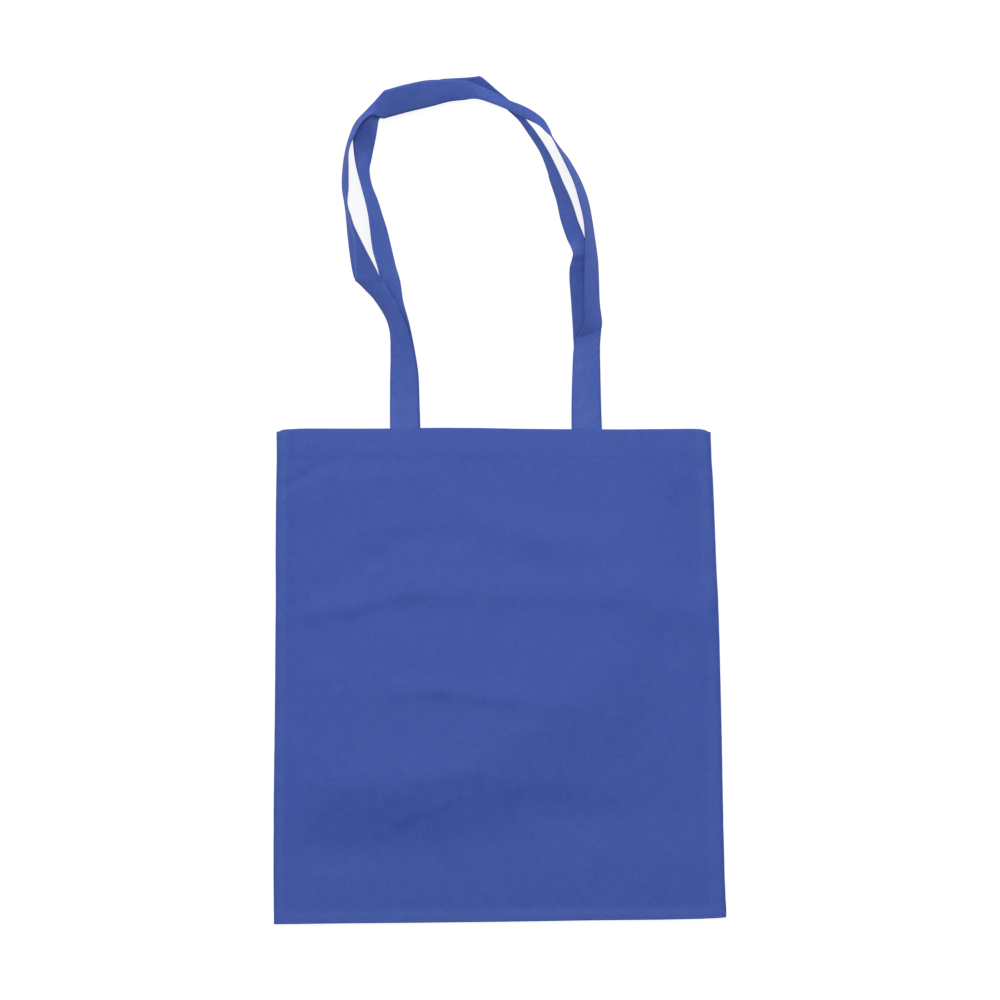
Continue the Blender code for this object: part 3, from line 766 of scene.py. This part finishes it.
def near_segment(tree, place, segment, width):
    """1 on a straight line seen from above, 0 at width from it and past its ends."""
    ax, ay, bx, by = segment
    dx, dy = bx - ax, by - ay
    length = math.hypot(dx, dy)
    split = tree.nodes.new("ShaderNodeSeparateXYZ")
    feed(tree, split.inputs["Vector"], place)
    x, y = split.outputs["X"], split.outputs["Y"]
    aside = math_node(tree, "MULTIPLY_ADD", x, -dy / length, (ax * dy - ay * dx) / length)
    aside = math_node(tree, "ABSOLUTE", math_node(tree, "MULTIPLY_ADD", y, dx / length, aside))
    along = math_node(tree, "MULTIPLY_ADD", x, dx / length ** 2, -(ax * dx + ay * dy) / length ** 2)
    along = math_node(tree, "MULTIPLY_ADD", y, dy / length ** 2, along)
    started = step_mask(tree, along, FOLD_HIGHLIGHT_FADE_IN)
    inside = math_node(tree, "MULTIPLY", started, step_mask(tree, along, FOLD_HIGHLIGHT_FADE_OUT))
    return math_node(tree, "MULTIPLY", inside, step_mask(tree, aside, (width, 0.0)))


def painted_fold_highlight(tree, place, colour):
    """Painted highlight along the long fold in the front handle, where light catches its ridge."""
    for segment in PAINTED_FOLD_HIGHLIGHT_LINES:
        colour = tinted(tree, colour, near_segment(tree, place, segment, FOLD_HIGHLIGHT_WIDTH), FOLD_HIGHLIGHT_TINT)
    return colour


def mottled(tree, colour, cloudy, clumps):
    """The colour deeper where the fibres lie thick and washed out where they lie thin."""
    balance = 0.5 - 0.5 * (CLUMP_CONTRAST + CLOUD_CONTRAST)
    small = math_node(tree, "MULTIPLY_ADD", clumps, CLUMP_CONTRAST, balance)
    thin = math_node(tree, "MULTIPLY_ADD", cloudy, CLOUD_CONTRAST, small)
    deep = [c * share for c, share in zip(colour, DEEP_SHARES)]
    washed = [c * share for c, share in zip(colour, WASHED_SHARES)]
    return mixed(tree, thin, deep, washed)


def cloth_material(name, colour, pitch, roughness, gloss, coat, seams):
    """Non-woven fabric: rows of pressed bond points, loose fibres between them, soft mottling.

    The pitch is the distance between bond points. The bag has paler seams and painted shade along the
    line under the hem, the straps a painted highlight along a fold.
    """
    material = bpy.data.materials.new(name)
    material.use_nodes = True
    tree = material.node_tree
    shader = tree.nodes["Principled BSDF"]
    uv = tree.nodes.new("ShaderNodeUVMap")
    uv.uv_map = "cloth"
    flat = uv.outputs["UV"]
    where = tree.nodes.new("ShaderNodeTexCoord").outputs["Object"]
    bonds = bond_points(tree, flat, pitch)
    run = placed(tree, flat, FIBRE_STRETCH)
    fibre = noise_node(tree, run, FIBRES, detail=3.0, distortion=FIBRE_CURL)
    cloudy = noise_node(tree, where, CLOUDS, detail=4.0, roughness=CLOUD_GRAIN)
    broad = noise_node(tree, where, BROAD_CLOUDS, detail=2.0)
    clumps = noise_node(tree, where, CLUMPS, detail=2.0)
    fibre_part = between(tree, fibre, *FIBRE_SHADES)
    broad_part = between(tree, broad, *BROAD_SHADES)
    bond_part = between(tree, bonds, *BOND_SHADES)
    tone = math_node(tree, "MULTIPLY", fibre_part, math_node(tree, "MULTIPLY", broad_part, bond_part))
    shade = scaled(tree, mottled(tree, colour, cloudy, clumps), tone)
    # The bag gets painted shade along the hem line, the straps a painted highlight along one fold
    shade = seam_layers_and_hem_shade(tree, flat, shade) if seams else painted_fold_highlight(tree, where, shade)
    feed(tree, shader.inputs["Base Color"], shade)
    rough = between(tree, cloudy, roughness - ROUGHNESS_SPREAD, roughness + ROUGHNESS_SPREAD)
    feed(tree, shader.inputs["Roughness"], rough)
    shader.inputs["Specular IOR Level"].default_value = gloss
    shader.inputs["Coat Weight"].default_value = coat
    shader.inputs["Coat Roughness"].default_value = COAT_ROUGHNESS
    shader.inputs["Sheen Weight"].default_value = SHEEN_SHARE * gloss
    shader.inputs["Sheen Roughness"].default_value = SHEEN_ROUGHNESS
    bump = tree.nodes.new("ShaderNodeBump")
    bump.inputs["Strength"].default_value = RELIEF_STRENGTH
    bump.inputs["Distance"].default_value = RELIEF
    height = math_node(tree, "MULTIPLY", fibre, FIBRE_RELIEF_SHARE)
    height = math_node(tree, "MULTIPLY_ADD", bonds, BOND_RELIEF_SHARE, height)
    feed(tree, bump.inputs["Height"], height)
    feed(tree, shader.inputs["Normal"], bump.outputs["Normal"])
    return material


def matt(tree, value):
    """A matt grey surface."""
    node = tree.nodes.new("ShaderNodeBsdfDiffuse")
    node.inputs["Color"].default_value = (value, value, value, 1.0)
    return node.outputs["BSDF"]


def make_floor():
    """A plain white floor that keeps the object's soft shadow and shows as white to the camera."""
    mesh = bpy.data.meshes.new("floor")
    r = FLOOR_REACH
    corners = [(x, y, FLOOR_LEVEL) for x, y in ((-r, -r), (r, -r), (r, r), (-r, r))]
    mesh.from_pydata(corners, [], [(0, 1, 2, 3)])
    floor = bpy.data.objects.new("floor", mesh)
    bpy.context.scene.collection.objects.link(floor)
    material = bpy.data.materials.new("floor_white")
    material.use_nodes = True
    tree = material.node_tree
    tree.nodes.remove(tree.nodes["Principled BSDF"])
    glow = tree.nodes.new("ShaderNodeEmission")
    glow.inputs["Color"].default_value = (1.0, 1.0, 1.0, 1.0)
    glow.inputs["Strength"].default_value = FLOOR_GLOW
    white = tree.nodes.new("ShaderNodeAddShader")
    feed(tree, white.inputs[0], matt(tree, FLOOR_SHADE))
    feed(tree, white.inputs[1], glow.outputs["Emission"])
    rays = tree.nodes.new("ShaderNodeLightPath").outputs
    mirrored = math_node(tree, "MAXIMUM", rays["Is Glossy Ray"], rays["Is Transmission Ray"])
    pick = tree.nodes.new("ShaderNodeMixShader")
    feed(tree, pick.inputs[0], math_node(tree, "MAXIMUM", rays["Is Camera Ray"], mirrored))
    feed(tree, pick.inputs[1], matt(tree, FLOOR_BOUNCE))
    feed(tree, pick.inputs[2], white.outputs["Shader"])
    feed(tree, tree.nodes["Material Output"].inputs["Surface"], pick.outputs["Shader"])
    mesh.materials.append(material)


def make_lamp(name, place, size, watts):
    """A soft rectangular lamp that looks at the origin."""
    data = bpy.data.lights.new(name, "AREA")
    data.shape = "RECTANGLE"
    data.size, data.size_y = size
    data.energy = watts
    lamp = bpy.data.objects.new(name, data)
    lamp.location = place
    lamp.rotation_euler = (-Vector(place)).to_track_quat("-Z", "Y").to_euler()
    bpy.context.scene.collection.objects.link(lamp)


def make_studio():
    """Even white surroundings, three soft lamps and the camera."""
    scene = bpy.context.scene
    scene.view_settings.view_transform = "Standard"
    world = bpy.data.worlds.new("studio")
    scene.world = world
    world.use_nodes = True
    background = world.node_tree.nodes["Background"]
    background.inputs["Color"].default_value = (1.0, 1.0, 1.0, 1.0)
    background.inputs["Strength"].default_value = SKY
    for lamp in LAMPS:
        make_lamp(*lamp)
    data = bpy.data.cameras.new("camera")
    data.lens = CAMERA_LENS
    data.sensor_width = CAMERA_SENSOR
    data.clip_end = CAMERA_REACH
    camera = bpy.data.objects.new("camera", data)
    camera.location = (0.0, 0.0, CAMERA_HEIGHT)
    scene.collection.objects.link(camera)
    scene.camera = camera


make_studio()
make_floor()
cloth = cloth_material(
    "bag_fabric", CLOTH_BLUE, pitch=0.0017, roughness=0.50, gloss=0.20, coat=0.0, seams=True
)
webbing = cloth_material(
    "handle_fabric", STRAP_BLUE, pitch=0.0015, roughness=0.82, gloss=0.05, coat=0.12, seams=False
)
bag = make_bag(cloth)
front_strap = make_strap("front_strap", FRONT_STRAP, webbing, FRONT_SEED)
back_strap = make_strap("back_strap", BACK_STRAP, webbing, BACK_SEED)

for piece, node, slot in (
    (bag, "bag_body", "bag_fabric"),
    (front_strap, "front_handle", "handle_fabric"),
    (back_strap, "back_handle", "handle_fabric"),
):
    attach(piece, "root")
    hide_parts(node)
